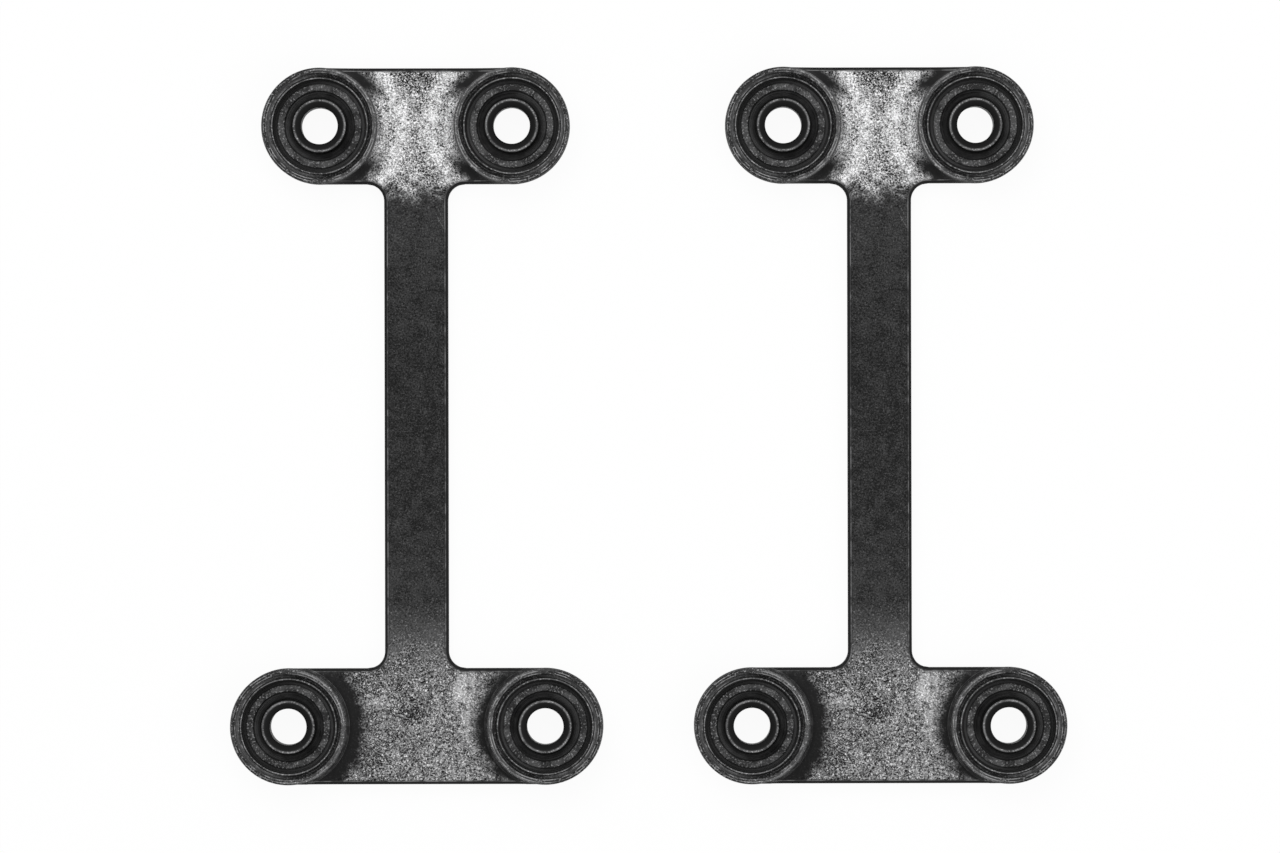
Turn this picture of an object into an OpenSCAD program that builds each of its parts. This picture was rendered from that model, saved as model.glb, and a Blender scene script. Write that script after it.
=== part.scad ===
// Pair of friction stay link plates. Each plate is one I-shaped link with a
// narrow bar and a wide bar, and a stepped socket at each of its four ends.
// Each socket holds a friction pivot: a sprung washer stack that presses the
// flange of a swivelling sleeve up against a friction ring. A retainer ring
// keeps the stack down. The plates lie flat: Z is up, and Y runs from the wide
// bar to the narrow bar.

/* [Link plate] */
// Distance between the two pivots of the narrow bar
narrow_pitch = 43; // [36:0.5:56]
// Distance between the two pivots of the wide bar
wide_pitch = 57.5; // [44:0.5:80]
// Distance between the two bars, from pivot to pivot
row_spacing = 134.5; // [100:0.5:180]
// Thickness of both bars
bar_thickness = 4.6; // [3:0.1:6]
// Width of the stem that joins the bars
stem_width = 14.3; // [10:0.1:20]
// Thickness of the stem along its middle
stem_thickness = 3.8; // [2.4:0.1:5]
// Length over which the stem thickens into each bar
stem_ramp = 9; // [4:0.5:20]
// Radius of the four inside corners beside the stem
corner_radius = 3.8; // [2:0.1:8]
// Gap between the wide bars of the two plates as they lie
plate_gap = 20.3; // [5:0.1:60]

/* [Socket] */
// Thickness of the plate under the pivot parts
floor_thickness = 1.8; // [1.2:0.1:3]
// How far the mouth flares out past the straight wall
mouth_flare = 0.9; // [0.5:0.05:1.5]
// Depth of the flared mouth
mouth_depth = 1.4; // [0.8:0.1:2]
// Bevel between the mouth and the top of the rim
mouth_bevel = 0.2; // [0.1:0.05:0.3]
// Width of the rim around the mouth
rim_width = 1.1; // [0.9:0.05:1.8]
// Radius of the rim's rounded outer edge
rim_round = 0.5; // [0.2:0.05:0.6]
// Radius of the fillet at the foot of the narrow bar's sockets
narrow_foot = 3.4; // [1:0.1:4]
// Radius of the fillet at the foot of the wide bar's sockets
wide_foot = 2.4; // [1:0.1:3]
// Number of fine steps on the wall of the wide bar's sockets
wall_steps = 3; // [1:1:4]
// Width of each fine step
wall_step_width = 0.22; // [0.1:0.01:0.3]
// Height of each fine step
wall_step_height = 0.75; // [0.4:0.05:0.9]

/* [Sleeve] */
// Radius of the bolt hole
bolt_hole_radius = 4.1; // [3:0.05:6]
// Thickness of the sleeve's wall
sleeve_wall = 1.9; // [1.5:0.05:2.5]
// Width of the flange that the friction acts on
flange_width = 3.4; // [2.4:0.1:4]
// Thickness of the flange
flange_thickness = 1.2; // [0.8:0.1:2]
// Width and depth of the countersink at the sleeve's mouth
sleeve_countersink = 1.2; // [0.5:0.05:1.3]
// Bevel on the sleeve's outer edges
sleeve_bevel = 0.2; // [0.1:0.05:0.3]
// How far the sleeve stands above the rim
sleeve_proud = 0.2; // [0:0.05:1]
// Width of the two marks in the sleeve's lip
mark_width = 0.8; // [0.4:0.1:1.5]
// Depth of the two marks in the sleeve's lip
mark_depth = 0.4; // [0.2:0.05:0.8]

/* [Friction stack] */
// Thickness of the disc spring's steel
spring_thickness = 0.5; // [0.3:0.05:0.8]
// How far the disc spring rises from its rim to its hole
spring_rise = 0.6; // [0.3:0.05:1]
// Thickness of the thrust washer
washer_thickness = 0.8; // [0.5:0.05:1.2]
// Thickness of the friction ring's base
ring_base = 0.8; // [0.5:0.05:1.2]
// Width of the groove between the sleeve and the friction ring's ledge
inner_groove = 1.6; // [1.2:0.05:2]
// Width of the low step inside the ledge
ring_step = 0.6; // [0.3:0.05:0.8]
// Width of the friction ring's raised ledge
ledge_width = 1.5; // [1.2:0.05:2.5]
// Height of the ledge above the friction ring's base
ledge_height = 0.8; // [0.4:0.05:1.5]
// Width of the groove between the ledge and the retainer ring
outer_groove = 1.0; // [0.8:0.05:1.5]
// Height of the retainer ring
retainer_height = 2.4; // [1.5:0.1:3]
// Wall of the retainer ring
retainer_wall = 0.5; // [0.4:0.05:0.8]
// Width of the retainer ring's foot on the friction ring
retainer_foot = 0.4; // [0.2:0.05:0.6]
// Thickness of the retainer ring's foot
retainer_foot_thickness = 0.6; // [0.4:0.05:0.8]

/* [Clearances] */
// Running clearance round the sleeve, on the radius
running_gap = 0.05; // [0.02:0.01:0.1]
// Running clearance over and under the flange
flange_gap = 0.05; // [0.02:0.01:0.1]
// Clearance round the rings that don't turn, on the radius
seat_gap = 0.05; // [0.03:0.01:0.1]
// Clearance round the sleeve inside the spring and washer, on the radius
loose_gap = 0.3; // [0.2:0.05:0.5]

/* [Hidden] */
$fn = 96;
overlap = 1;

// Radii, from the bolt hole outwards
sleeve_radius = bolt_hole_radius + sleeve_wall;
flange_radius = sleeve_radius + flange_width;
floor_hole_radius = sleeve_radius + running_gap;
ledge_inner_radius = sleeve_radius + loose_gap + inner_groove;
ledge_outer_radius = ledge_inner_radius + ledge_width;
ring_outer_radius = ledge_outer_radius + outer_groove;
retainer_inner_radius = ring_outer_radius + seat_gap;
retainer_outer_radius = retainer_inner_radius + retainer_wall;
recess_radius = retainer_outer_radius + seat_gap;
mouth_radius = recess_radius + mouth_flare;
socket_radius = mouth_radius + rim_width;

// Heights, from the bottom of the plate upwards
spring_top = floor_thickness + spring_thickness + spring_rise;
washer_top = spring_top + washer_thickness;
flange_base = washer_top + flange_gap;
ring_base_z = flange_base + flange_thickness + flange_gap;
ring_shoulder_z = ring_base_z + ring_base;
retainer_top = ring_shoulder_z + retainer_height;
socket_height = retainer_top + mouth_depth + mouth_bevel;
sleeve_top = socket_height + sleeve_proud;

bay_half = row_spacing / 2 - socket_radius;
plate_pitch = wide_pitch + 2 * socket_radius + plate_gap;
mark_angles = [16, -52];

PLATES = ["left", "right"];
SOCKETS = ["narrow_left", "narrow_right", "wide_left", "wide_right"];
PIECES = ["disc_spring", "thrust_washer", "pivot_sleeve", "friction_ring", "retainer_ring"];
function plate_node(plate) = str(plate, "_link_plate");
function pivot_node(plate, socket, piece) = str(plate, "_", socket, "_", piece);

function on_narrow(socket) = socket < 2;
function side_of(index) = index % 2 == 0 ? -1 : 1;
function socket_place(socket) = [
    side_of(socket) * (on_narrow(socket) ? narrow_pitch : wide_pitch) / 2,
    (on_narrow(socket) ? 1 : -1) * row_spacing / 2,
    0
];

module on_plate(plate) {
    translate([side_of(plate) * plate_pitch / 2, 0, 0]) children();
}

module in_socket(plate, socket) {
    on_plate(plate) translate(socket_place(socket)) children();
}

// Outline of one bar, with a full round at each end
module bar_outline(pitch) {
    square([pitch, 2 * socket_radius], center = true);
    for (side = [-1, 1]) translate([side * pitch / 2, 0]) circle(socket_radius);
}

// Outline of the stem with its four inside corners
module stem_outline() {
    square([stem_width, 2 * (bay_half + overlap)], center = true);
    for (turn = [0, 1], flip = [0, 1])
        mirror([turn, 0]) mirror([0, flip])
            translate([stem_width / 2, bay_half]) inside_corner();
}

// Concave round that fills the corner to the right of and below the origin
module inside_corner() {
    difference() {
        translate([-overlap, -corner_radius]) square([corner_radius + overlap, corner_radius + overlap]);
        translate([corner_radius, -corner_radius]) circle(corner_radius);
    }
}

// Side view of the stem: thin along its middle, as thick as the bars at its ends
module stem_profile() {
    polygon([
        [-bay_half - overlap, 0],
        [bay_half + overlap, 0],
        [bay_half + overlap, bar_thickness],
        [bay_half, bar_thickness],
        [bay_half - stem_ramp, stem_thickness],
        [-bay_half + stem_ramp, stem_thickness],
        [-bay_half, bar_thickness],
        [-bay_half - overlap, bar_thickness]
    ]);
}

module stem() {
    intersection() {
        linear_extrude(bar_thickness) stem_outline();
        rotate([90, 0, 90])
            translate([0, 0, -stem_width]) linear_extrude(2 * stem_width) stem_profile();
    }
}

// Outside of one socket, with its rounded rim
module socket_body() {
    rotate_extrude() {
        square([socket_radius, socket_height - rim_round]);
        square([socket_radius - rim_round, socket_height]);
        translate([socket_radius - rim_round, socket_height - rim_round])
            intersection() {
                circle(rim_round);
                square(rim_round);
            }
    }
}

// Concave fillet at the foot of a socket, inside the bar's outline
module socket_foot(foot, pitch) {
    intersection() {
        rotate_extrude() translate([socket_radius, bar_thickness])
            difference() {
                translate([-overlap, -overlap]) square(foot + overlap);
                translate([foot, foot]) circle(foot);
            }
        children();
    }
}

// Fine steps on the wall of a socket, inside the bar's outline
module socket_steps() {
    intersection() {
        for (step = [1:wall_steps])
            cylinder(
                r = socket_radius + step * wall_step_width,
                h = socket_height - rim_round - step * wall_step_height
            );
        children();
    }
}

// Everything that is taken out of a socket: recess, flared mouth and floor hole
module socket_cut() {
    rotate_extrude() polygon([
        [0, -overlap],
        [floor_hole_radius, -overlap],
        [floor_hole_radius, floor_thickness],
        [recess_radius, floor_thickness],
        [recess_radius, retainer_top],
        [mouth_radius, retainer_top + mouth_depth],
        [mouth_radius + mouth_bevel, socket_height],
        [mouth_radius + mouth_bevel, socket_height + overlap],
        [0, socket_height + overlap]
    ]);
}

module bar(pitch, foot, stepped) {
    linear_extrude(bar_thickness) bar_outline(pitch);
    for (side = [-1, 1]) {
        translate([side * pitch / 2, 0]) socket_body();
        translate([side * pitch / 2, 0]) socket_foot(foot) foot_space(side, pitch);
        if (stepped)
            translate([side * pitch / 2, 0]) socket_steps() foot_space(side, pitch);
    }
}

// The inner half of a bar, seen from the socket on the given side
module foot_space(side, pitch) {
    translate([side > 0 ? -pitch / 2 : 0, -socket_radius, 0])
        cube([pitch / 2, 2 * socket_radius, socket_height]);
}

module link_plate() {
    color("dimgray") difference() {
        union() {
            stem();
            translate([0, row_spacing / 2]) bar(narrow_pitch, narrow_foot, false);
            translate([0, -row_spacing / 2]) bar(wide_pitch, wide_foot, true);
        }
        for (socket = [0:len(SOCKETS) - 1]) translate(socket_place(socket)) socket_cut();
    }
}

// Cone of spring steel: its rim stands on the floor, its hole lifts the washer
module disc_spring() {
    hole = sleeve_radius + loose_gap;
    color("slategray") rotate_extrude() polygon([
        [retainer_inner_radius, floor_thickness],
        [retainer_inner_radius, floor_thickness + spring_thickness],
        [hole, spring_top],
        [hole, spring_top - spring_thickness]
    ]);
}

module thrust_washer() {
    color("darkgray") rotate_extrude()
        translate([sleeve_radius + loose_gap, spring_top])
            square([retainer_outer_radius - sleeve_radius - loose_gap, washer_thickness]);
}

// Tube for the bolt, with the flange that the stack grips and two marks in its lip
module pivot_sleeve() {
    color("gray") difference() {
        rotate_extrude() polygon([
            [bolt_hole_radius, 0],
            [sleeve_radius, 0],
            [sleeve_radius, flange_base],
            [flange_radius, flange_base],
            [flange_radius, flange_base + flange_thickness],
            [sleeve_radius, flange_base + flange_thickness],
            [sleeve_radius, sleeve_top - sleeve_bevel],
            [sleeve_radius - sleeve_bevel, sleeve_top],
            [bolt_hole_radius + sleeve_countersink, sleeve_top],
            [bolt_hole_radius, sleeve_top - sleeve_countersink]
        ]);
        for (angle = mark_angles) rotate(angle)
            translate([bolt_hole_radius, -mark_width / 2, sleeve_top - mark_depth])
                cube([sleeve_wall + overlap, mark_width, mark_depth + overlap]);
    }
}

// Moulded ring with a raised ledge, pressed down on the flange
module friction_ring() {
    hole = sleeve_radius + loose_gap;
    color("#303032") rotate_extrude() polygon([
        [hole, ring_base_z],
        [ring_outer_radius, ring_base_z],
        [ring_outer_radius, ring_shoulder_z],
        [ledge_outer_radius, ring_shoulder_z],
        [ledge_outer_radius, ring_shoulder_z + ledge_height],
        [ledge_inner_radius, ring_shoulder_z + ledge_height],
        [ledge_inner_radius, ring_shoulder_z],
        [ledge_inner_radius - ring_step, ring_shoulder_z],
        [ledge_inner_radius - ring_step, ring_base_z + ring_base / 2],
        [hole, ring_base_z + ring_base / 2]
    ]);
}

// Thin steel ring pressed into the recess; its foot holds the friction ring down
module retainer_ring() {
    color("silver") rotate_extrude() polygon([
        [retainer_inner_radius - retainer_foot, ring_shoulder_z],
        [retainer_outer_radius, ring_shoulder_z],
        [retainer_outer_radius, retainer_top],
        [retainer_inner_radius, retainer_top],
        [retainer_inner_radius, ring_shoulder_z + retainer_foot_thickness],
        [retainer_inner_radius - retainer_foot, ring_shoulder_z + retainer_foot_thickness]
    ]);
}

for (plate = [0:len(PLATES) - 1]) {
    on_plate(plate) link_plate();
    for (socket = [0:len(SOCKETS) - 1]) {
        in_socket(plate, socket) disc_spring();
        in_socket(plate, socket) thrust_washer();
        in_socket(plate, socket) pivot_sleeve();
        in_socket(plate, socket) friction_ring();
        in_socket(plate, socket) retainer_ring();
    }
}
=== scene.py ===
"""Looks of a pair of friction stay link plates, built on the plates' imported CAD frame."""
import math

import bpy
import numpy as np
from bpy.props import FloatProperty, FloatVectorProperty, IntProperty, PointerProperty
from bpy.types import Operator, Panel, PropertyGroup
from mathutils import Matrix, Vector


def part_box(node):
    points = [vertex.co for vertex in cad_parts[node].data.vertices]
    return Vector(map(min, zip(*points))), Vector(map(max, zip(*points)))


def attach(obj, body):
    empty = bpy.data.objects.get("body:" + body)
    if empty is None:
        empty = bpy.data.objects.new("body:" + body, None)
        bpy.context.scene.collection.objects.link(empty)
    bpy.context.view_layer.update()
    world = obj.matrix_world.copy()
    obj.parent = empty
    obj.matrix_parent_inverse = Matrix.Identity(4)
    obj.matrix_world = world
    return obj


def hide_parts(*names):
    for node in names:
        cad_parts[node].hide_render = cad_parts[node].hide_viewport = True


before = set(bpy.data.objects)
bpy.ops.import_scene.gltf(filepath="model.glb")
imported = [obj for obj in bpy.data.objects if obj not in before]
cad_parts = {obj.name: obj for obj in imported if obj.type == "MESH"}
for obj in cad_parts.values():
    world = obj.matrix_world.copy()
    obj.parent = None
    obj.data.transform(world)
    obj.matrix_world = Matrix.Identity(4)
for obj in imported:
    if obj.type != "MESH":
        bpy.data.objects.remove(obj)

bl_info = {
    "name": "Friction stay link plates",
    "version": (1, 0, 0),
    "blender": (4, 5, 0),
    "location": "View3D > Sidebar > Stay",
    "description": "Builds the surfaces and finishes of a pair of friction stay link plates",
    "category": "Object",
}

MM = 0.001
VIEW_WIDTH = 286.8 * MM
CAMERA_HEIGHT = 2.4
CAMERA_SHIFT = (-1.8 * MM, -0.16 * MM)
CAMERA_ROLL = math.radians(-0.12)
SENSOR = 36
FLOOR_HALF = 3.0
FLOOR_DROP = 0.02 * MM
FLOOR_GLOW = 0.94
PLATES = ("left", "right")
SOCKETS = ("narrow_left", "narrow_right", "wide_left", "wide_right")
WALL_STEPS = (1, 2, 3)


# ---------------------------------------------------------------- places read from the frame

def middle(node):
    """Middle of a CAD node's box, in the row frame."""
    low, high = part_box(node)
    return np.array([(a + b) / 2 for a, b in zip(low, high)])


def socket_centre(plate, socket):
    """Axis of one socket, taken from the sleeve that stands in it."""
    return middle(f"{plate}_{socket}_pivot_sleeve")[:2]


def node_top(node):
    """Height of a CAD node's highest point."""
    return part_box(node)[1][2]


PLATE_X = {plate: middle(f"{plate}_link_plate")[0] for plate in PLATES}
PITCH = PLATE_X["right"] - PLATE_X["left"]
ROW = socket_centre("left", "narrow_left")[1] - socket_centre("left", "wide_left")[1]
NARROW = socket_centre("left", "narrow_right")[0] - socket_centre("left", "narrow_left")[0]
WIDE = socket_centre("left", "wide_right")[0] - socket_centre("left", "wide_left")[0]
PLATE_LOW, PLATE_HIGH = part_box("left_link_plate")
SOCKET_RADIUS = (PLATE_HIGH[1] - PLATE_LOW[1] - ROW) / 2
RIM_TOP = PLATE_HIGH[2]
SLEEVE_TOP = node_top("left_narrow_left_pivot_sleeve")
RING_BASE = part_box("left_narrow_left_friction_ring")[0][2]
RETAINER_TOP = node_top("left_narrow_left_retainer_ring")
BAY_HALF = ROW / 2 - SOCKET_RADIUS

# Heights and widths that the pivot parts share
FLANGE_THICKNESS = 1.2 * MM
FLANGE_GAP = 0.05 * MM
RING_STEP = 0.8 * MM
RING_FLOOR = 0.4 * MM
GROOVE_WIDTH = 0.6 * MM
SLEEVE_GAP = 0.3 * MM
RETAINER_WALL = 0.5 * MM
RETAINER_FOOT = 0.4 * MM
RETAINER_FOOT_THICKNESS = 0.6 * MM

# Notches in a sleeve's lip: angles in degrees, half width in radians, and depth
MARK_ANGLES = (16, -52)
MARK_WIDTH = 0.075
MARK_DEPTH = 0.25 * MM

# How far the bars start inside the sockets' walls, so that no two faces lie on each other
HAIR = 0.03 * MM


# ---------------------------------------------------------------- sizes and colours

class StaySizes(PropertyGroup):
    """Sizes that the visible surfaces are worked out from."""

    bar_thickness: FloatProperty(
        name="Bar thickness", description="Height of the two bars' top face", default=4.6 * MM, unit="LENGTH")
    stem_width: FloatProperty(
        name="Stem width", description="Width of the stem between the bars", default=14.3 * MM, unit="LENGTH")
    stem_thickness: FloatProperty(
        name="Stem thickness", description="Height of the stem's top face", default=3.8 * MM, unit="LENGTH")
    stem_ramp: FloatProperty(
        name="Stem ramp", description="Length over which the stem rises to a bar", default=9 * MM, unit="LENGTH")
    corner_radius: FloatProperty(
        name="Inside corner", description="Radius beside the stem's ends", default=3.8 * MM, unit="LENGTH")
    edge_round: FloatProperty(
        name="Edge round", description="Radius of the plate's upper edges", default=0.55 * MM, unit="LENGTH")
    back_round: FloatProperty(
        name="Back edge round", description="Radius of the plate's lower edges", default=0.3 * MM, unit="LENGTH")
    narrow_foot: FloatProperty(
        name="Narrow foot", description="Fillet round the narrow bar's sockets", default=3.4 * MM, unit="LENGTH")
    wide_foot: FloatProperty(
        name="Wide foot", description="Fillet round the wide bar's sockets", default=2.4 * MM, unit="LENGTH")
    wall_step_width: FloatProperty(
        name="Wall step width", description="Width of a fine step on a wide socket", default=0.22 * MM,
        unit="LENGTH")
    wall_step_height: FloatProperty(
        name="Wall step height", description="Height of a fine step on a wide socket", default=0.75 * MM,
        unit="LENGTH")
    floor_thickness: FloatProperty(
        name="Socket floor", description="Plate left under the pivot parts", default=1.8 * MM, unit="LENGTH")
    floor_hole: FloatProperty(
        name="Floor hole", description="Radius of the hole that the sleeve runs in", default=6.05 * MM,
        unit="LENGTH")
    recess_radius: FloatProperty(
        name="Recess radius", description="Straight wall of the recess", default=11.0 * MM, unit="LENGTH")
    mouth_radius: FloatProperty(
        name="Mouth radius", description="Widest radius of the flared mouth", default=11.9 * MM, unit="LENGTH")
    mouth_bevel: FloatProperty(
        name="Mouth bevel", description="Bevel between mouth and rim", default=0.2 * MM, unit="LENGTH")
    rim_round: FloatProperty(
        name="Rim round", description="Radius of the rim's outer edge", default=0.5 * MM, unit="LENGTH")
    bolt_hole: FloatProperty(
        name="Bolt hole", description="Radius of the sleeve's hole", default=4.1 * MM, unit="LENGTH")
    sleeve_radius: FloatProperty(
        name="Sleeve radius", description="Outside of the sleeve's tube", default=6.0 * MM, unit="LENGTH")
    sleeve_countersink: FloatProperty(
        name="Countersink", description="Width and depth of the sleeve's mouth", default=1.2 * MM, unit="LENGTH")
    flange_radius: FloatProperty(
        name="Flange radius", description="Outside of the sleeve's flange", default=9.4 * MM, unit="LENGTH")
    ledge_inner: FloatProperty(
        name="Ledge inside", description="Inner radius of the friction ring's ledge", default=7.9 * MM,
        unit="LENGTH")
    ledge_outer: FloatProperty(
        name="Ledge outside", description="Outer radius of the friction ring's ledge", default=9.4 * MM,
        unit="LENGTH")
    ring_outer: FloatProperty(
        name="Ring outside", description="Outer radius of the friction ring", default=10.4 * MM, unit="LENGTH")
    segments: IntProperty(
        name="Segments", description="Steps round each turned surface", default=160, min=48, max=256)


class StayColours(PropertyGroup):
    """Plain colours of the finishes, with the greys of the painted shine and the painted glint."""

    blackened: FloatVectorProperty(
        name="Blackened", description="Blackened casting", default=(0.013, 0.013, 0.013), subtype="COLOR", size=3)
    # Painted reflection: grey of the painted shine on the bars' webs
    painted_shine: FloatVectorProperty(
        name="Painted shine", description="Casting rubbed bright", default=(0.60, 0.60, 0.61), subtype="COLOR", size=3)
    moulded: FloatVectorProperty(
        name="Moulded", description="Friction ring", default=(0.011, 0.011, 0.011), subtype="COLOR", size=3)
    # Painted highlight: grey of the painted glint near the top of the sleeves and retainer rings
    steel: FloatVectorProperty(
        name="Steel", description="Bare edge of the steel rings", default=(0.42, 0.42, 0.43), subtype="COLOR",
        size=3)
    floor: FloatVectorProperty(
        name="Floor", description="Plain pale floor", default=(0.93, 0.93, 0.93), subtype="COLOR", size=3)


# ---------------------------------------------------------------- surfaces as arrays

def smooth(low, high, value):
    """0 below low, 1 above high, and the cubic 3t^2 - 2t^3 between them."""
    t = np.clip((value - low) / (high - low), 0, 1)
    return t * t * (3 - 2 * t)


def rounded(corners, steps=5):
    """A closed outline through corners of (x, y, radius), each corner swapped for an arc of that radius.

    The arc of radius q touches both sides at q / tan(half the corner's angle). It is drawn as the quadratic
    curve (1-t)^2 a + 2t(1-t) c + t^2 b between those two points, which is close to the arc for small rounds."""
    corners = np.array(corners, dtype=float)
    point, radius = corners[:, :2], corners[:, 2:]
    back, ahead = np.roll(point, 1, 0) - point, np.roll(point, -1, 0) - point
    back_length = np.linalg.norm(back, axis=1, keepdims=True)
    ahead_length = np.linalg.norm(ahead, axis=1, keepdims=True)
    back, ahead = back / back_length, ahead / ahead_length
    half = np.arccos(np.clip((back * ahead).sum(1, keepdims=True), -1, 1)) / 2
    reach = np.minimum(radius / np.tan(half), 0.45 * np.minimum(back_length, ahead_length))
    start, end = (point + back * reach)[:, None], (point + ahead * reach)[:, None]
    t = np.linspace(0, 1, steps)[None, :, None]
    curve = (1 - t) ** 2 * start + 2 * t * (1 - t) * point[:, None] + t ** 2 * end
    return curve.reshape(-1, 2)


def grid_faces(rows, columns, first=0):
    """Quads of a grid of vertices numbered row by row."""
    index = first + np.arange(rows * columns).reshape(rows, columns)
    return np.stack([index[:-1, :-1], index[1:, :-1], index[1:, 1:], index[:-1, 1:]], -1).reshape(-1, 4)


def outward(vertices, faces):
    """The faces, turned over if the shell's signed volume, a sum of dot(a, b x c) / 6, is negative."""
    a, b, c, d = (vertices[faces[:, k]] for k in range(4))
    volume = (a * np.cross(b, c)).sum() + (a * np.cross(c, d)).sum()
    return faces[:, ::-1] if volume < 0 else faces


def turned(profile, centre, segments, warp=None):
    """A closed shell: the outline (r, z) turned about the upright line through centre.

    A point at angle a lies at (cx + r cos a, cy + r sin a, z). warp(a, r, z) may move r and z."""
    angle = np.linspace(0, 2 * math.pi, segments + 1)[:-1, None]
    radius = np.broadcast_to(profile[None, :, 0], (segments, len(profile)))
    height = np.broadcast_to(profile[None, :, 1], radius.shape)
    if warp:
        radius, height = warp(angle, radius, height)
    point = np.stack([centre[0] + radius * np.cos(angle), centre[1] + radius * np.sin(angle), height], -1)
    index = np.arange(radius.size).reshape(radius.shape)
    right, up = np.roll(index, -1, 0), np.roll(index, -1, 1)
    faces = np.stack([index, right, np.roll(right, -1, 1), up], -1).reshape(-1, 4)
    vertices = point.reshape(-1, 3)
    return vertices, outward(vertices, faces)


def slab(top, bottom):
    """A closed shell between two grids of points of one shape: both grids, and a wall round their borders."""
    rows, columns = top.shape[:2]
    size = rows * columns
    index = np.arange(size).reshape(rows, columns)
    border = np.concatenate([index[0, :-1], index[:-1, -1], index[-1, :0:-1], index[:0:-1, 0]])
    following = np.roll(border, -1)
    walls = np.stack([border, following, following + size, border + size], -1)
    faces = np.concatenate([
        grid_faces(rows, columns), grid_faces(rows, columns, size)[:, ::-1], walls])
    vertices = np.concatenate([top.reshape(-1, 3), bottom.reshape(-1, 3)])
    return vertices, outward(vertices, faces)


def join(shells):
    """Several shells as one set of vertices and faces."""
    starts = np.cumsum([0] + [len(v) for v, _ in shells[:-1]])
    return np.concatenate([v for v, _ in shells]), np.concatenate([f + s for (_, f), s in zip(shells, starts)])


def piece(name, shells, finish, body, node, edge=None):
    """One mesh object from closed shells: it rides on body and stands for the CAD node."""
    vertices, faces = join(shells)
    mesh = bpy.data.meshes.new(name)
    mesh.vertices.add(len(vertices))
    mesh.vertices.foreach_set("co", vertices.astype(np.float32).ravel())
    mesh.loops.add(faces.size)
    mesh.loops.foreach_set("vertex_index", faces.astype(np.int32).ravel())
    mesh.polygons.add(len(faces))
    mesh.polygons.foreach_set("loop_start", np.arange(0, faces.size, 4, dtype=np.int32))
    mesh.update(calc_edges=True)
    mesh.shade_smooth()
    mesh.set_sharp_from_angle(angle=math.radians(40))
    if edge is not None:
        mesh.attributes.new("edge", "FLOAT", "POINT").data.foreach_set("value", edge(vertices).astype(np.float32))
    mesh.materials.append(finish)
    made = bpy.data.objects.new(name, mesh)
    bpy.context.collection.objects.link(made)
    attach(made, body)
    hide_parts(node)
    return made


# ---------------------------------------------------------------- the plate's shape

def plate_place(x):
    """x measured from the middle of the plate that it belongs to."""
    return x - np.sign(x) * PITCH / 2


def from_socket(x, y, bar, pitch):
    """How far (x, y) is from the nearest socket of a bar: the hypotenuse of |x| - pitch/2 and y - bar."""
    return np.hypot(np.abs(x) - pitch / 2, y - bar)


def edge_distance(x, y, sizes):
    """How far inside the plate's outline (x, y) lies, as the least of three distances.

    To the bays beside the stem, which are boxes with round corners: |max(q, 0)| - corner, where q is the offset
    from the box's round-cornered core. To a bar's round end: the socket's radius less the distance to its axis.
    To a bar's straight outer edge: the radius less |y - bar|."""
    corner = sizes.corner_radius
    into_bay = sizes.stem_width / 2 + corner - np.abs(x)
    past_bay = np.abs(y) - (BAY_HALF - corner)
    bay = np.hypot(np.maximum(into_bay, 0), np.maximum(past_bay, 0)) - corner
    pitch = np.where(y > 0, NARROW, WIDE)
    across, along = np.abs(x) - pitch / 2, np.abs(y) - ROW / 2
    end = np.where(across > 0, SOCKET_RADIUS - np.hypot(across, along), SOCKET_RADIUS - along)
    end = np.where((across <= 0) & (along < 0), SOCKET_RADIUS, end)
    return np.maximum(np.minimum(bay, end), 0)


def quarter(distance, radius):
    """How much a rounded edge has dropped at a distance inside it: q - sqrt(q^2 - (q - d)^2), and 0 past q."""
    short = np.maximum(radius - distance, 0)
    return radius - np.sqrt(np.maximum(radius ** 2 - short ** 2, 0))


def web_height(x, y, sizes):
    """Top of the bars and stem: a flat bar, a smooth ramp down to the stem, a hollow fillet round each socket
    that rises as f (1 - sqrt(1 - (1 - t)^2)), and a rounded edge."""
    ramp = smooth(BAY_HALF - sizes.stem_ramp, BAY_HALF, np.abs(y))
    height = sizes.stem_thickness + (sizes.bar_thickness - sizes.stem_thickness) * ramp
    for bar, pitch, foot in ((ROW / 2, NARROW, sizes.narrow_foot), (-ROW / 2, WIDE, sizes.wide_foot)):
        t = np.clip((from_socket(x, y, bar, pitch) - SOCKET_RADIUS) / foot, 0, 1)
        height = height + foot * (1 - np.sqrt(np.maximum(1 - (1 - t) ** 2, 0)))
    return height - quarter(edge_distance(x, y, sizes), sizes.edge_round)


def plate_slab(x, y, sizes):
    """Closed shell over the grid (x, y) of plate places: its top is web_height, its bottom lies on the floor."""
    bottom = quarter(edge_distance(x, y, sizes), sizes.back_round)
    return [np.stack([x, y, web_height(x, y, sizes)], -1), np.stack([x, y, bottom], -1)]


def bar_slab(bar, pitch, foot, sizes, across=112, along=72):
    """The bar between its two sockets. Row k lies at y = bar + R sin(a), and runs from one socket's wall to the
    other's, at x = -+(pitch/2 - R cos(a)), with more columns in the fillets. R is a hair's breadth short of the
    socket's radius, so that the bar starts inside the wall and its sides do not lie on it."""
    angle = np.linspace(-math.pi / 2, math.pi / 2, along)[:, None]
    share = np.linspace(-1, 1, across)[None, :]
    share = np.sign(share) * (1 - (1 - np.abs(share)) ** 1.5)
    radius = SOCKET_RADIUS - HAIR
    reach = pitch / 2 - radius * np.cos(angle)
    y = np.broadcast_to(bar + radius * np.sin(angle), (along, across))
    return plate_slab(reach * share, y, sizes)


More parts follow.
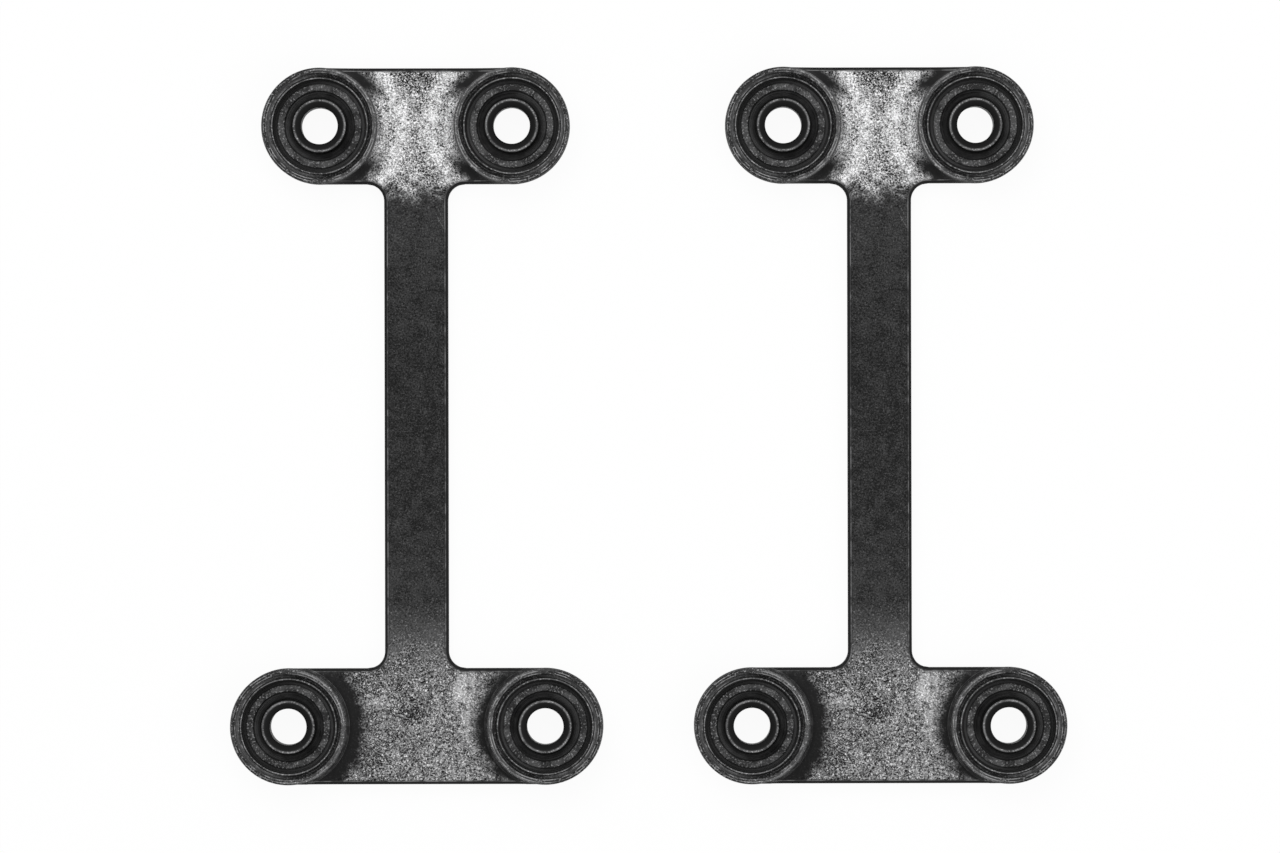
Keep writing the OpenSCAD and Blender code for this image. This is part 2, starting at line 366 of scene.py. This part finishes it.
def stem_slab(sizes, across=34, along=150):
    """The stem. Its half width is w + c - sqrt(c^2 - (c - t)^2) at t from a bar's edge, so it flares into both
    inside corners, and columns crowd towards its edges. One last row at each end dips under the bar's skin."""
    share = np.linspace(-1, 1, along)
    share = np.sign(share) * (1 - (1 - np.abs(share)) ** 1.3)
    y = np.concatenate([[-BAY_HALF - 0.3 * MM], BAY_HALF * share, [BAY_HALF + 0.3 * MM]])[:, None]
    flare = quarter(np.maximum(BAY_HALF - np.abs(y), 0), sizes.corner_radius)
    half = sizes.stem_width / 2 + flare
    column = np.sin(np.linspace(-math.pi / 2, math.pi / 2, across))[None, :]
    top, bottom = plate_slab(half * column, np.broadcast_to(y, (along + 2, across)), sizes)
    top[[0, -1], :, 2] -= 0.2 * MM
    bottom[[0, -1], :, 2] += 0.2 * MM
    return [top, bottom]


def step_slab(place, inwards, step, sizes, along=61):
    """One fine step on a wide socket's wall: a flat crescent from the wall to r = min(R + w, (R - g) / |sin a|).

    It ends a gap g inside the bar's straight edges. g is a few hairs, and more for the upper steps, so that no two
    steps share a face."""
    angle = np.linspace(-math.pi / 2, math.pi / 2, along)[:, None]
    gap = (5 - step) * HAIR
    straight = (SOCKET_RADIUS - gap) / np.maximum(np.abs(np.sin(angle)), 0.5)
    reach = np.minimum(SOCKET_RADIUS + step * sizes.wall_step_width, straight)
    top = RIM_TOP - sizes.rim_round - step * sizes.wall_step_height
    share = np.array([0.0, 0.8, 0.95, 1.0])[None, :]
    drop = np.array([0.0, 0.0, 0.03, 0.12])[None, :] * MM
    inner = SOCKET_RADIUS - 0.2 * MM
    radius = inner + (reach - inner) * share
    x = place[0] + inwards * radius * np.cos(angle)
    y = place[1] + radius * np.sin(angle)
    low = np.full_like(x, sizes.bar_thickness / 2)
    return [np.stack([x, y, top - drop + 0 * x], -1), np.stack([x, y, low], -1)]


def socket_outline(sizes):
    """Outline (r, z) of a socket: floor hole, floor, recess, flared mouth, rim, outside wall and back."""
    r, top = sizes, RIM_TOP
    return rounded([
        (r.floor_hole, 0, 0.15 * MM),
        (SOCKET_RADIUS, 0, r.back_round),
        (SOCKET_RADIUS, r.bar_thickness, 0),
        (SOCKET_RADIUS, (top + r.bar_thickness) / 2, 0),
        (SOCKET_RADIUS, top, r.rim_round),
        (r.mouth_radius + r.mouth_bevel, top, 0.12 * MM),
        (r.mouth_radius, top - r.mouth_bevel, 0.12 * MM),
        (r.recess_radius, RETAINER_TOP, 0.05 * MM),
        (r.recess_radius, r.floor_thickness, 0.1 * MM),
        (r.floor_hole, r.floor_thickness, 0.1 * MM),
    ], steps=6)


def link_plate_shells(plate, sizes):
    """Every shell of one plate: two bars, the stem, four sockets and the fine steps of the wide pair."""
    shift = np.array([PLATE_X[plate], 0, 0])
    slabs = [bar_slab(ROW / 2, NARROW, sizes.narrow_foot, sizes),
             bar_slab(-ROW / 2, WIDE, sizes.wide_foot, sizes),
             stem_slab(sizes)]
    for side in (-1, 1):
        for step in WALL_STEPS:
            slabs.append(step_slab((side * WIDE / 2, -ROW / 2), -side, step, sizes))
    shells = [slab(top + shift, bottom + shift) for top, bottom in slabs]
    outline = socket_outline(sizes)
    shells += [turned(outline, socket_centre(plate, socket), sizes.segments) for socket in SOCKETS]
    return shells


# ---------------------------------------------------------------- the pivot parts' shapes

def sleeve_outline(sizes):
    """Outline (r, z) of a sleeve: bore, countersunk lip, tube, flange and foot."""
    s = sizes
    flange_high = RING_BASE - FLANGE_GAP
    flange_low = flange_high - FLANGE_THICKNESS
    return rounded([
        (s.bolt_hole, 0, 0.1 * MM),
        (s.sleeve_radius, 0, 0.1 * MM),
        (s.sleeve_radius, flange_low, 0),
        (s.flange_radius, flange_low, 0.1 * MM),
        (s.flange_radius, flange_high, 0.1 * MM),
        (s.sleeve_radius, flange_high, 0.1 * MM),
        (s.sleeve_radius, SLEEVE_TOP, 0.28 * MM),
        (s.bolt_hole + s.sleeve_countersink, SLEEVE_TOP, 0.16 * MM),
        (s.bolt_hole, SLEEVE_TOP - s.sleeve_countersink, 0.2 * MM),
    ])


def lip_marks(angle, radius, height):
    """Two small notches in the sleeve's lip: a dip exp(-(a / w)^4) round each mark's angle, near the top only."""
    near_top = smooth(SLEEVE_TOP - 1.3 * MM, SLEEVE_TOP - 0.3 * MM, height)
    dip = 0
    for mark in MARK_ANGLES:
        turn = np.angle(np.exp(1j * (angle - math.radians(mark))))
        dip = dip + np.exp(-(turn / MARK_WIDTH) ** 4)
    return radius, height - MARK_DEPTH * dip * near_top


def ring_outline(sizes):
    """Outline (r, z) of a friction ring: low inner step, raised ledge, and the shoulder under the retainer."""
    s = sizes
    shoulder, step = RING_BASE + RING_STEP, RING_BASE + RING_FLOOR
    ledge = shoulder + RING_STEP
    hole, groove = s.sleeve_radius + SLEEVE_GAP, s.ledge_inner - GROOVE_WIDTH
    return rounded([
        (hole, RING_BASE, 0.05 * MM),
        (s.ring_outer, RING_BASE, 0.05 * MM),
        (s.ring_outer, shoulder, 0.08 * MM),
        (s.ledge_outer, shoulder, 0.1 * MM),
        (s.ledge_outer, ledge, 0.25 * MM),
        (s.ledge_inner, ledge, 0.22 * MM),
        (s.ledge_inner, shoulder, 0.1 * MM),
        (groove, shoulder, 0.1 * MM),
        (groove, step, 0.08 * MM),
        (hole, step, 0.08 * MM),
    ])


def retainer_outline(sizes):
    """Outline (r, z) of a retainer ring: a thin wall with a rounded crest, and a foot on the friction ring."""
    outer = sizes.recess_radius - 0.05 * MM
    inner = outer - RETAINER_WALL
    foot = inner - RETAINER_FOOT
    shoulder = RING_BASE + RING_STEP
    return rounded([
        (foot, shoulder, 0.05 * MM),
        (outer, shoulder, 0.05 * MM),
        (outer, RETAINER_TOP, 0.2 * MM),
        (inner, RETAINER_TOP, 0.2 * MM),
        (inner, shoulder + RETAINER_FOOT_THICKNESS, 0.15 * MM),
        (foot, shoulder + RETAINER_FOOT_THICKNESS, 0.1 * MM),
    ])


# ---------------------------------------------------------------- shader arithmetic

class Value:
    """One output of a material's node. Python arithmetic on it adds Math nodes."""

    def __init__(self, finish, socket):
        self.finish = finish
        self.socket = socket

    def math(self, operation, *values):
        return self.finish.node("ShaderNodeMath", {"operation": operation}, values)

    def __add__(self, other):
        return self.math("ADD", self, other)

    __radd__ = __add__

    def __sub__(self, other):
        return self.math("SUBTRACT", self, other)

    def __rsub__(self, other):
        return self.math("SUBTRACT", other, self)

    def __mul__(self, other):
        return self.math("MULTIPLY", self, other)

    __rmul__ = __mul__

    def __truediv__(self, other):
        return self.math("DIVIDE", self, other)

    def __pow__(self, other):
        return self.math("POWER", self, other)

    def __abs__(self):
        return self.math("ABSOLUTE", self)

    def sign(self):
        return self.math("SIGN", self)

    def least(self, other):
        return self.math("MINIMUM", self, other)

    def most(self, other):
        return self.math("MAXIMUM", self, other)

    def ramp(self, low, high):
        """0 at low, 1 at high, and a smooth step between them; low may be the larger."""
        settings = {"interpolation_type": "SMOOTHSTEP"}
        return self.finish.node("ShaderNodeMapRange", settings, (self, low, high, 0, 1))

    def band(self, middle, width):
        """1 at middle, falling smoothly to 0 at half a width on either side."""
        return abs(self - middle).ramp(width / 2, 0)

    def mix(self, other, share):
        """This value where share is 0, and other where share is 1."""
        return self + (other - self) * share


class Finish:
    """One material, and the ways to add nodes to it."""

    def __init__(self, name, roughness=0.5, metallic=0.0, specular=0.5):
        self.material = bpy.data.materials.new(name)
        self.material.use_nodes = True
        self.tree = self.material.node_tree
        self.shader = self.tree.nodes["Principled BSDF"]
        self.shader.inputs["Roughness"].default_value = roughness
        self.shader.inputs["Metallic"].default_value = metallic
        self.shader.inputs["Specular IOR Level"].default_value = specular

    def node(self, kind, settings, values, out=0):
        """A node of that kind: its settings first, then its sockets by place or by name."""
        made = self.tree.nodes.new(kind)
        for name, setting in settings.items():
            setattr(made, name, setting)
        pairs = values.items() if isinstance(values, dict) else enumerate(values)
        for key, value in pairs:
            self.feed(made.inputs[key], value)
        return Value(self, made.outputs[out])

    def feed(self, socket, value):
        if isinstance(value, Value):
            self.tree.links.new(value.socket, socket)
        else:
            socket.default_value = value

    def place(self):
        """The point's row-frame place in millimetres, with x measured from the middle of its own plate."""
        point = self.node("ShaderNodeTexCoord", {}, (), out="Object")
        scaled = self.node("ShaderNodeVectorMath", {"operation": "SCALE"}, {"Vector": point, "Scale": 1 / MM})
        x, y, z = (self.node("ShaderNodeSeparateXYZ", {}, (scaled,), out=axis) for axis in "XYZ")
        x = x - x.sign() * (PITCH / 2 / MM)
        return x, y, z

    def vector(self, x, y, z):
        return self.node("ShaderNodeCombineXYZ", {}, (x, y, z))

    def noise(self, point, scale, detail=2.0, roughness=0.5, distortion=0.0):
        """Cloudy noise round 0.5, with features about 1 / scale millimetres across."""
        return self.node("ShaderNodeTexNoise", {}, {
            "Vector": point, "Scale": scale, "Detail": detail, "Roughness": roughness, "Distortion": distortion})

    def grey(self, value, tint=(1.0, 1.0, 1.01)):
        """A colour from black to the tint by a value."""
        sockets = {0: value, 6: (0, 0, 0, 1), 7: (*tint, 1)}
        return self.node("ShaderNodeMix", {"data_type": "RGBA"}, sockets, out=2)

    def finish(self, colour, roughness=None, bump=None, distance=0.0002, strength=0.6):
        """Feeds the shader, with the bump's height as a share of the distance in metres."""
        self.feed(self.shader.inputs["Base Color"], colour)
        if roughness is not None:
            self.feed(self.shader.inputs["Roughness"], roughness)
        if bump is not None:
            normal = self.node("ShaderNodeBump", {}, {"Strength": strength, "Distance": distance, "Height": bump},
                               out="Normal")
            self.feed(self.shader.inputs["Normal"], normal)
        return self.material


# ---------------------------------------------------------------- finishes

def socket_radii(x, y):
    """Distance in millimetres to the nearest narrow socket and to the nearest wide one, and each one's
    outwardness: 1 on the side away from the stem, -1 on the side towards it."""
    found = []
    for bar, pitch in ((ROW / 2 / MM, NARROW / MM), (-ROW / 2 / MM, WIDE / MM)):
        across = abs(x) - pitch / 2
        radius = ((across * across) + (y - bar) * (y - bar)) ** 0.5
        found += [radius, across / radius.most(0.1)]
    return found


def scratch(x, y, start, end):
    """1 on a fine scratch from start to end: the distance to that line, under a tenth of a millimetre."""
    run, rise = end[0] - start[0], end[1] - start[1]
    share = ((x - start[0]) * run + (y - start[1]) * rise) / (run * run + rise * rise)
    share = share.least(1.0).most(0.0)
    across, along = x - start[0] - share * run, y - start[1] - share * rise
    return (across * across + along * along).ramp(0.02, 0.0)


SCRATCHES = (((4.2, 48.0), (6.2, 44.4)), ((5.0, 48.6), (6.4, 45.6)), ((4.0, 45.6), (6.0, 46.6)),
             ((11.2, -58.2), (13.6, -60.4)), ((-1.2, 50.6), (0.4, 48.8)), ((-2.8, -47.0), (-3.1, -50.5)))


def narrow_web(x, y, radius, grain, cloud, colours):
    """Bright, strongly grained web of the narrow bar, its brightness a painted reflection: painted light in arcs
    beside the sockets, painted shade in a patch at the outer edge, a little darker towards the stem, and deep
    painted shade in its four corners."""
    from_bar = y - ROW / 2 / MM
    # Painted light in arcs beside the sockets
    wings = radius.band(18.2, 5.6) * 0.30 + radius.band(14.6, 2.4) * 0.16
    # Painted shade in a patch at the outer edge
    patch = abs(x).ramp(9.0, 1.0) * from_bar.ramp(3, 12) * 0.24
    # Painted reflection: the web's bright grey, with grain and cloud on it
    web = colours.painted_shine[0] * 0.55 + wings - patch + (grain - 0.5) * 3.4 + (cloud - 0.5) * 0.6
    web = web + grain.ramp(0.57, 0.70) * 0.30
    web = web - from_bar.ramp(-6, -13) * 0.06
    # Painted shade in the four corners
    corner = (radius + (cloud - 0.5) * 3).ramp(17.6, 14.4) * abs(from_bar).ramp(4.2, 9.2)
    return web.mix(colours.blackened[0], corner)


def wide_web(x, y, radius, grain, cloud, colours):
    """Greyer web of the wide bar, its grey a painted reflection: darker to the left, with a faint cloud of painted
    shade in its middle, painted shine in patches beside it, and painted shade in a hollow by each socket that
    reaches further on the left."""
    from_bar = y + ROW / 2 / MM
    drift = (cloud - 0.5) * 12
    # Painted shine in patches beside the middle
    right = (x + drift).band(11.0, 6.5) * from_bar.ramp(-9, 4) * 0.20
    shine = right + (x + drift).band(-8.0, 5.0) * from_bar.band(6, 7) * 0.18
    shade = (x - drift).band(0.0, 8.5) * from_bar.band(3.0, 7.0) * 0.12
    # The base grey is the painted reflection
    web = colours.painted_shine[0] * 0.20 + x.ramp(-16, 16) * 0.08 + shine - shade
    web = web + (grain - 0.5) * 1.7 + (cloud - 0.5) * 0.40 + grain.ramp(0.57, 0.70) * 0.34
    # Painted shade in the hollow round each socket
    reach = radius + (cloud - 0.5) * 4 - x.ramp(2, -2) * 1.5
    return web.mix(colours.blackened[0] * 0.8 + grain.ramp(0.60, 0.74) * 0.03, reach.ramp(18.2, 13.8))


def dark_stem(y, grain, cloud, colours):
    """Dark mottled stem, lighter towards both ends."""
    ends = y.ramp(15, 50) * 0.012 + y.ramp(-15, -38) * 0.009 + y.ramp(-38, -52) * 0.05
    mottle = (cloud - 0.5) * 0.06 + (grain - 0.5) * 0.16 + grain.ramp(0.60, 0.74) * 0.03
    mottle = mottle + grain.ramp(0.55, 0.70) * y.ramp(-36, -52) * 0.14
    return colours.blackened[0] * 1.5 + ends + mottle


def socket_rim(radius, outwards, z, grain, streak, rings, colours):
    """Granular rim and flared mouth of a socket, with fine turned lines. The mouth has painted light on its
    outward side, painted highlights lie in patches along the rim's edges and low in the mouth, and the outside
    wall is dark."""
    flecks = grain.ramp(0.56, 0.70)
    rim = 0.016 + flecks * 0.30 + rings.ramp(0.48, 0.68) * 0.09 + outwards.ramp(0.3, -0.8) * 0.04
    # Painted light: the mouth is lighter on its outward side
    mouth = outwards.ramp(-0.3, 0.9) * 0.05 + 0.008 + flecks * 0.14 + rings.ramp(0.5, 0.68) * 0.06
    value = rim.mix(mouth, radius.ramp(12.0, 11.85))
    # Painted highlights in patches: along the mouth's edge, along the rim's outer round, and low in the mouth on
    # its outward side
    value = value + radius.band(11.95, 0.3) * streak * 0.34 + radius.band(12.5, 0.26) * streak * 0.30
    value = value + radius.band(11.2, 0.35) * outwards.ramp(-0.2, 0.8) * streak * 0.30
    side = z.ramp(RIM_TOP / MM - 0.25, RIM_TOP / MM - 0.6)
    return value.mix(colours.blackened[0], side * radius.ramp(12.6, 12.9))


def wall_lines(radius, outwards, streak):
    """Painted highlights: fine bright lines on the stepped inner wall of a wide socket, on its side towards the
    stem.
    """
    lines = radius.band(13.15, 0.2) + radius.band(13.4, 0.16) + radius.band(13.65, 0.16)
    return lines * outwards.ramp(0.1, -0.5) * (streak * 0.8 + 0.2) * 0.11


def blackened_casting(colours):
    """Blackened iron: grainy on the bars under a painted reflection, dark and mottled on the stem, with painted
    shade darker still in the hollows round the sockets, and a painted highlight line along the edges."""
    f = Finish("blackened_casting", roughness=0.6, specular=0.14)
    x, y, z = f.place()
    point = f.vector(x, y, z)
    grain = f.noise(point, 2.9, detail=2.0, roughness=0.6, distortion=0.8)
    cloud = f.noise(point, 0.38, detail=3.0, roughness=0.6)
    narrow, narrow_out, wide, wide_out = socket_radii(x, y)
    streak = cloud.ramp(0.42, 0.62)
    radius = narrow.least(wide)
    outwards = narrow_out.mix(wide_out, y.ramp(5, -5))
    rings = f.noise(f.vector(radius * 2.6, outwards * 0.8, 0.0), 1.6, detail=2.0)
    bar_edge = BAY_HALF / MM

    sway = y + (cloud - 0.5) * 12
    upper = sway.ramp(bar_edge - 4.5, bar_edge + 3)
    lower = sway.ramp(-bar_edge + 9, -bar_edge - 4)
    value = dark_stem(y, grain, cloud, colours)
    value = value.mix(narrow_web(x, y, narrow, grain, cloud, colours), upper)
    value = value.mix(wide_web(x, y, wide, grain, cloud, colours), lower)
    for start, end in SCRATCHES:
        value = value + scratch(x, y, start, end) * grain.ramp(0.42, 0.56) * 0.06

    # The plate's edge: painted shade outermost, with a thin painted highlight line inside it
    edge = f.node("ShaderNodeAttribute", {"attribute_name": "edge"}, (), out="Fac")
    value = value.mix(colours.blackened[0] * 0.8, edge.ramp(1.15, 0.6))
    value = value + edge.band(0.70, 0.34) * (streak * 0.8 + 0.2) * 0.18

    # Painted highlights on the fine steps of the wide sockets
    value = value + wall_lines(wide, wide_out, streak)
    socket_edge = SOCKET_RADIUS / MM
    # The sockets' rims and mouths, with their painted light and painted highlights
    rim = socket_rim(radius, outwards, z, grain, streak, rings, colours)
    value = value.mix(rim, radius.ramp(socket_edge + 0.05, socket_edge - 0.02))
    value = value.mix(colours.blackened[0] + (grain - 0.5) * 0.03, z.ramp(0.6, 0.2)).most(0.006)
    rough = 0.66 - (grain - 0.5) * 0.5
    return f.finish(f.grey(value), rough.least(0.9).most(0.4), bump=grain, distance=0.1 * MM)


def turned_steel(name, colours, low, high, line, roughness):
    """Blackened steel with fine turned rings: dark below, lighter above, and a painted highlight near one radius.

    low and high are heights in millimetres between which it goes from dark to light, and line is the radius and
    the width of the painted highlight line."""
    f = Finish(name, roughness=roughness, specular=0.15)
    x, y, z = f.place()
    point = f.vector(x, y, z)
    narrow, _, wide, _ = socket_radii(x, y)
    radius = narrow.least(wide)
    grain = f.noise(point, 2.6, detail=2.0)
    cloud = f.noise(point, 0.4, detail=2.0)
    rings = f.noise(f.vector(radius * 6, 0.0, z * 2), 1.0, detail=2.0)
    top = z.ramp(low, high)
    value = colours.blackened[0] * 0.4 + top * 0.006
    # Painted highlight: a bright line near one radius towards the top, in patches and flecks, its grey from the
    # steel colour
    painted_shine = radius.band(*line) * top
    value = value + painted_shine * (cloud.ramp(0.30, 0.66) * 0.8 + 0.2) * colours.steel[0] * 0.42
    value = value + painted_shine * grain.ramp(0.53, 0.68) * 0.30
    return f.finish(f.grey(value.most(0.005)), roughness + (rings - 0.5) * 0.2, bump=rings + grain * 0.6,
                    distance=0.05 * MM)


def moulded_ring(colours):
    """Dark moulded plastic: smooth in its grooves, and lighter with a coarse grain on its ledge. Painted light
    lies on the outer groove's side towards the stem and on the inner step's outward side.
    """
    f = Finish("friction_plastic", roughness=0.6, specular=0.12)
    x, y, z = f.place()
    point = f.vector(x, y, z)
    narrow, narrow_out, wide, wide_out = socket_radii(x, y)
    radius = narrow.least(wide)
    outwards = narrow_out.mix(wide_out, y.ramp(5, -5))
    grain = f.noise(point, 2.6, detail=2.0, distortion=0.5)
    cloud = f.noise(point, 0.35, detail=2.0)
    ledge = z.ramp(RING_BASE / MM + 1.1, RING_BASE / MM + 1.55)
    # Painted light on the outer groove, on its side towards the stem
    groove = radius.ramp(9.3, 9.6) * (outwards.ramp(0.5, -0.9) * 0.036 + 0.012)
    # Painted light on the inner step, on its outward side; and a faint lighter line at 6.75 mm
    step = radius.band(7.3, 1.1) * (outwards.ramp(-0.4, 0.9) * 0.042 + cloud.ramp(0.4, 0.6) * 0.016)
    step = step + radius.band(6.75, 0.2) * cloud.ramp(0.4, 0.6) * 0.03
    value = colours.moulded[0] + groove + step + (grain - 0.5) * 0.02
    value = value + ledge * (0.012 + grain.ramp(0.55, 0.70) * 0.22 + cloud.ramp(0.4, 0.62) * 0.05)
    return f.finish(f.grey(value.most(0.005)), 0.6 - ledge * 0.1, bump=grain * ledge, distance=0.08 * MM)


def oiled_steel(name, grey):
    """Plain steel of the hidden washers, with an oily, clouded sheen."""
    f = Finish(name, roughness=0.35, metallic=0.8)
    x, y, z = f.place()
    point = f.vector(x, y, z)
    cloud = f.noise(point, 0.4, detail=3.0)
    grain = f.noise(point, 3.0, detail=1.0)
    value = grey + (cloud - 0.5) * 0.12 + (grain - 0.5) * 0.05
    return f.finish(f.grey(value), 0.35 + (cloud - 0.5) * 0.3, bump=grain, distance=0.03 * MM)


# ---------------------------------------------------------------- operators

def plate_body(plate):
    """Name of the body that a plate's own pieces ride on."""
    return f"{plate}_plate"


class STAY_OT_link_plates(Operator):
    """Builds the two link plates with rounded edges, fillets and stepped sockets"""

    bl_idname = "stay.link_plates"
    bl_label = "Link plates"

    def execute(self, context):
        sizes = context.scene.stay_sizes
        finish = blackened_casting(context.scene.stay_colours)

        def edge(vertices):
            """Distance inside the outline in millimetres, and 9 on the sockets' own surfaces."""
            x, y = plate_place(vertices[:, 0]), vertices[:, 1]
            nearest = np.minimum(from_socket(x, y, ROW / 2, NARROW), from_socket(x, y, -ROW / 2, WIDE))
            inside = edge_distance(x, y, sizes) / MM
            return np.where(nearest < SOCKET_RADIUS + 0.001 * MM, 9.0, inside)

        for plate in PLATES:
            piece(f"{plate}_casting", link_plate_shells(plate, sizes), finish, plate_body(plate),
                  f"{plate}_link_plate", edge)
        return {"FINISHED"}


class STAY_OT_pivot_sleeves(Operator):
    """Builds the eight sleeves that the bolts pass through"""

    bl_idname = "stay.pivot_sleeves"
    bl_label = "Pivot sleeves"

    def execute(self, context):
        sizes, colours = context.scene.stay_sizes, context.scene.stay_colours
        finish = turned_steel("sleeve_steel", colours, SLEEVE_TOP / MM - 2.2, SLEEVE_TOP / MM - 0.1,
                              (5.7, 0.7), 0.5)
        outline = sleeve_outline(sizes)
        for plate in PLATES:
            for socket in SOCKETS:
                shell = turned(outline, socket_centre(plate, socket), sizes.segments, lip_marks)
                piece(f"{plate}_{socket}_sleeve_tube", [shell], finish, f"{plate}_{socket}_sleeve",
                      f"{plate}_{socket}_pivot_sleeve")
        return {"FINISHED"}


class STAY_OT_friction_rings(Operator):
    """Builds the eight moulded friction rings"""

    bl_idname = "stay.friction_rings"
    bl_label = "Friction rings"

    def execute(self, context):
        sizes = context.scene.stay_sizes
        finish = moulded_ring(context.scene.stay_colours)
        outline = ring_outline(sizes)
        for plate in PLATES:
            for socket in SOCKETS:
                shell = turned(outline, socket_centre(plate, socket), sizes.segments)
                piece(f"{plate}_{socket}_moulded_ring", [shell], finish, plate_body(plate),
                      f"{plate}_{socket}_friction_ring")
        return {"FINISHED"}


class STAY_OT_retainer_rings(Operator):
    """Builds the eight thin retainer rings"""

    bl_idname = "stay.retainer_rings"
    bl_label = "Retainer rings"

    def execute(self, context):
        sizes, colours = context.scene.stay_sizes, context.scene.stay_colours
        finish = turned_steel("retainer_steel", colours, RETAINER_TOP / MM - 0.7, RETAINER_TOP / MM - 0.05,
                              (10.7, 0.45), 0.4)
        outline = retainer_outline(sizes)
        for plate in PLATES:
            for socket in SOCKETS:
                shell = turned(outline, socket_centre(plate, socket), sizes.segments)
                piece(f"{plate}_{socket}_steel_ring", [shell], finish, plate_body(plate),
                      f"{plate}_{socket}_retainer_ring")
        return {"FINISHED"}


class STAY_OT_hidden_washers(Operator):
    """Gives the disc springs and thrust washers inside the sockets their steel"""

    bl_idname = "stay.hidden_washers"
    bl_label = "Springs and washers"

    def execute(self, context):
        spring = oiled_steel("spring_steel", 0.2)
        washer = oiled_steel("washer_steel", 0.36)
        for name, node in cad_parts.items():
            if name.endswith("disc_spring"):
                paint(node, spring)
            elif name.endswith("thrust_washer"):
                paint(node, washer)
        return {"FINISHED"}


def paint(node, finish):
    """Gives a CAD node one material."""
    node.data.materials.clear()
    node.data.materials.append(finish)


class STAY_OT_stage(Operator):
    """Makes the floor, the lights, the world and the camera"""

    bl_idname = "stay.stage"
    bl_label = "Stage"

    def execute(self, context):
        add_floor(context.scene.stay_colours)
        add_world()
        add_softbox("key_softbox", (-0.25, 0.55, 1.1), 0.9, 7.0)
        add_softbox("fill_softbox", (0.55, -0.35, 0.9), 0.8, 3.0)
        add_camera()
        context.scene.view_settings.view_transform = "Standard"
        return {"FINISHED"}


def seen_rays(finish):
    """1 for rays from the camera, and for reflected and transmitted ones."""
    rays = [finish.node("ShaderNodeLightPath", {}, (), out=name)
            for name in ("Is Camera Ray", "Is Glossy Ray", "Is Transmission Ray")]
    return rays[0].most(rays[1]).most(rays[2])


def add_floor(colours):
    """A wide pale plane just under the plates, partly its own light: near white, with a soft shadow."""
    mesh = bpy.data.meshes.new("floor")
    corners = [(x * FLOOR_HALF, y * FLOOR_HALF, -FLOOR_DROP) for x, y in ((-1, -1), (1, -1), (1, 1), (-1, 1))]
    mesh.from_pydata(corners, [], [(0, 1, 2, 3)])
    finish = Finish("pale_floor", roughness=0.9, specular=0.1)
    finish.finish((*colours.floor, 1))
    glow = finish.node("ShaderNodeEmission", {}, {"Color": (1, 1, 1, 1), "Strength": 1.0}, out="Emission")
    share = seen_rays(finish) * FLOOR_GLOW
    mixed = finish.node("ShaderNodeMixShader", {}, {0: share}, out=0)
    finish.tree.links.new(finish.shader.outputs["BSDF"], mixed.socket.node.inputs[1])
    finish.tree.links.new(glow.socket, mixed.socket.node.inputs[2])
    finish.tree.links.new(mixed.socket, finish.tree.nodes["Material Output"].inputs["Surface"])
    mesh.materials.append(finish.material)
    floor = bpy.data.objects.new("floor", mesh)
    bpy.context.collection.objects.link(floor)


def add_world():
    """A plain bright world: white where it is seen, softer as a light."""
    world = bpy.data.worlds.new("studio")
    bpy.context.scene.world = world
    world.use_nodes = True
    tree = world.node_tree
    background = tree.nodes["Background"]
    background.inputs["Color"].default_value = (1, 1, 1, 1)
    rays = tree.nodes.new("ShaderNodeLightPath")
    strength = tree.nodes.new("ShaderNodeMath")
    strength.operation = "MULTIPLY_ADD"
    tree.links.new(rays.outputs["Is Camera Ray"], strength.inputs[0])
    strength.inputs[1].default_value = 0.45
    strength.inputs[2].default_value = 0.55
    tree.links.new(strength.outputs[0], background.inputs["Strength"])


def add_softbox(name, place, size, power):
    """A square soft lamp that faces the middle of the pair."""
    lamp = bpy.data.lights.new(name, "AREA")
    lamp.shape = "SQUARE"
    lamp.size = size
    lamp.energy = power
    made = bpy.data.objects.new(name, lamp)
    made.location = place
    made.rotation_euler = Vector(place).to_track_quat("Z", "Y").to_euler()
    bpy.context.collection.objects.link(made)


def add_camera():
    """Looks straight down from over the pair. The view is VIEW_WIDTH wide at half the plates' height."""
    camera = bpy.data.cameras.new("camera")
    camera.sensor_width = SENSOR
    camera.lens = SENSOR * CAMERA_HEIGHT / VIEW_WIDTH
    camera.clip_start = 0.01
    made = bpy.data.objects.new("camera", camera)
    made.location = (*CAMERA_SHIFT, CAMERA_HEIGHT + RIM_TOP / 2)
    made.rotation_euler = (0, 0, CAMERA_ROLL)
    bpy.context.collection.objects.link(made)
    bpy.context.scene.camera = made


# ---------------------------------------------------------------- panel and registration

BUILDERS = (STAY_OT_link_plates, STAY_OT_pivot_sleeves, STAY_OT_friction_rings, STAY_OT_retainer_rings,
            STAY_OT_hidden_washers, STAY_OT_stage)


class STAY_PT_panel(Panel):
    """Lists the builders, the sizes and the colours"""

    bl_idname = "STAY_PT_panel"
    bl_label = "Friction stay"
    bl_space_type = "VIEW_3D"
    bl_region_type = "UI"
    bl_category = "Stay"

    def draw(self, context):
        for builder in BUILDERS:
            self.layout.operator(builder.bl_idname)
        for group in (context.scene.stay_sizes, context.scene.stay_colours):
            for name in group.bl_rna.properties.keys():
                if name not in {"rna_type", "name"}:
                    self.layout.prop(group, name)


CLASSES = (StaySizes, StayColours, *BUILDERS, STAY_PT_panel)


def register():
    for item in CLASSES:
        bpy.utils.register_class(item)
    bpy.types.Scene.stay_sizes = PointerProperty(type=StaySizes)
    bpy.types.Scene.stay_colours = PointerProperty(type=StayColours)


def unregister():
    del bpy.types.Scene.stay_colours
    del bpy.types.Scene.stay_sizes
    for item in reversed(CLASSES):
        bpy.utils.unregister_class(item)


def main():
    """Registers the add-on's classes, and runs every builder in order."""
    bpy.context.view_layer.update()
    register()
    for builder in BUILDERS:
        group, name = builder.bl_idname.split(".")
        getattr(getattr(bpy.ops, group), name)()


if __name__ == "__main__":
    main()
